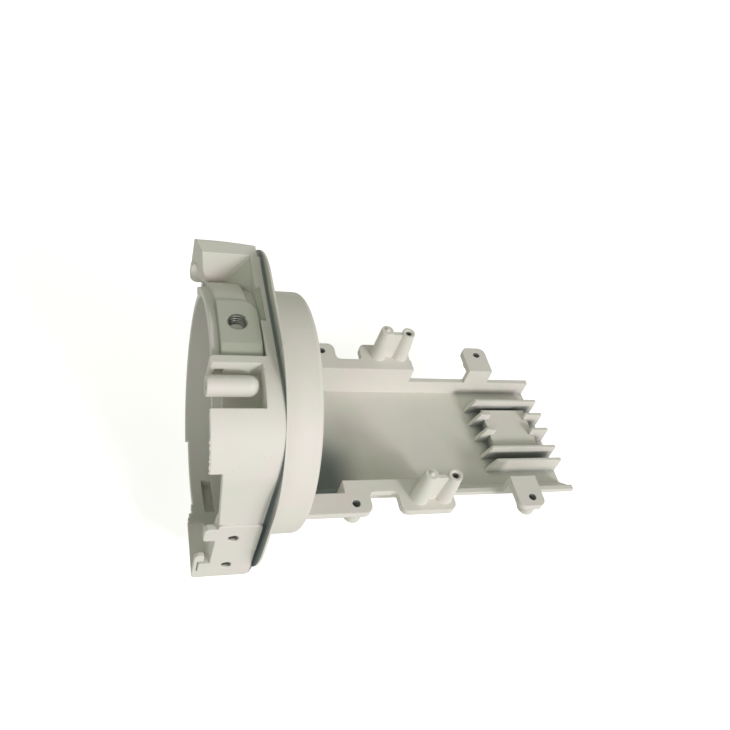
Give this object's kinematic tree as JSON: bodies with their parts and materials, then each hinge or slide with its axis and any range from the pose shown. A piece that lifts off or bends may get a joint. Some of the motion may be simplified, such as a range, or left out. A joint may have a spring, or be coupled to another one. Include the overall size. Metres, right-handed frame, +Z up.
{
  "type": "die cast drum and tray housing",
  "caption": "One-piece die cast housing: a flanged drum with a screw-column collar on one side and an open cooling tray with ears and columns on the other.",
  "frame": {"origin": "on the drum's axis, in the back face of the flange", "axes": "+X along the drum's axis from its open mouth to the tray's free end, +Z up and square to the tray's floor, +Y to the side that has the cable slot"},
  "size_m": [0.1527, 0.101, 0.101],
  "materials": {
    "casting": "matte, slightly rough coating over a die casting"
  },
  "bodies": {
    "root": {"housing": "casting"}
  },
  "joints": []
}
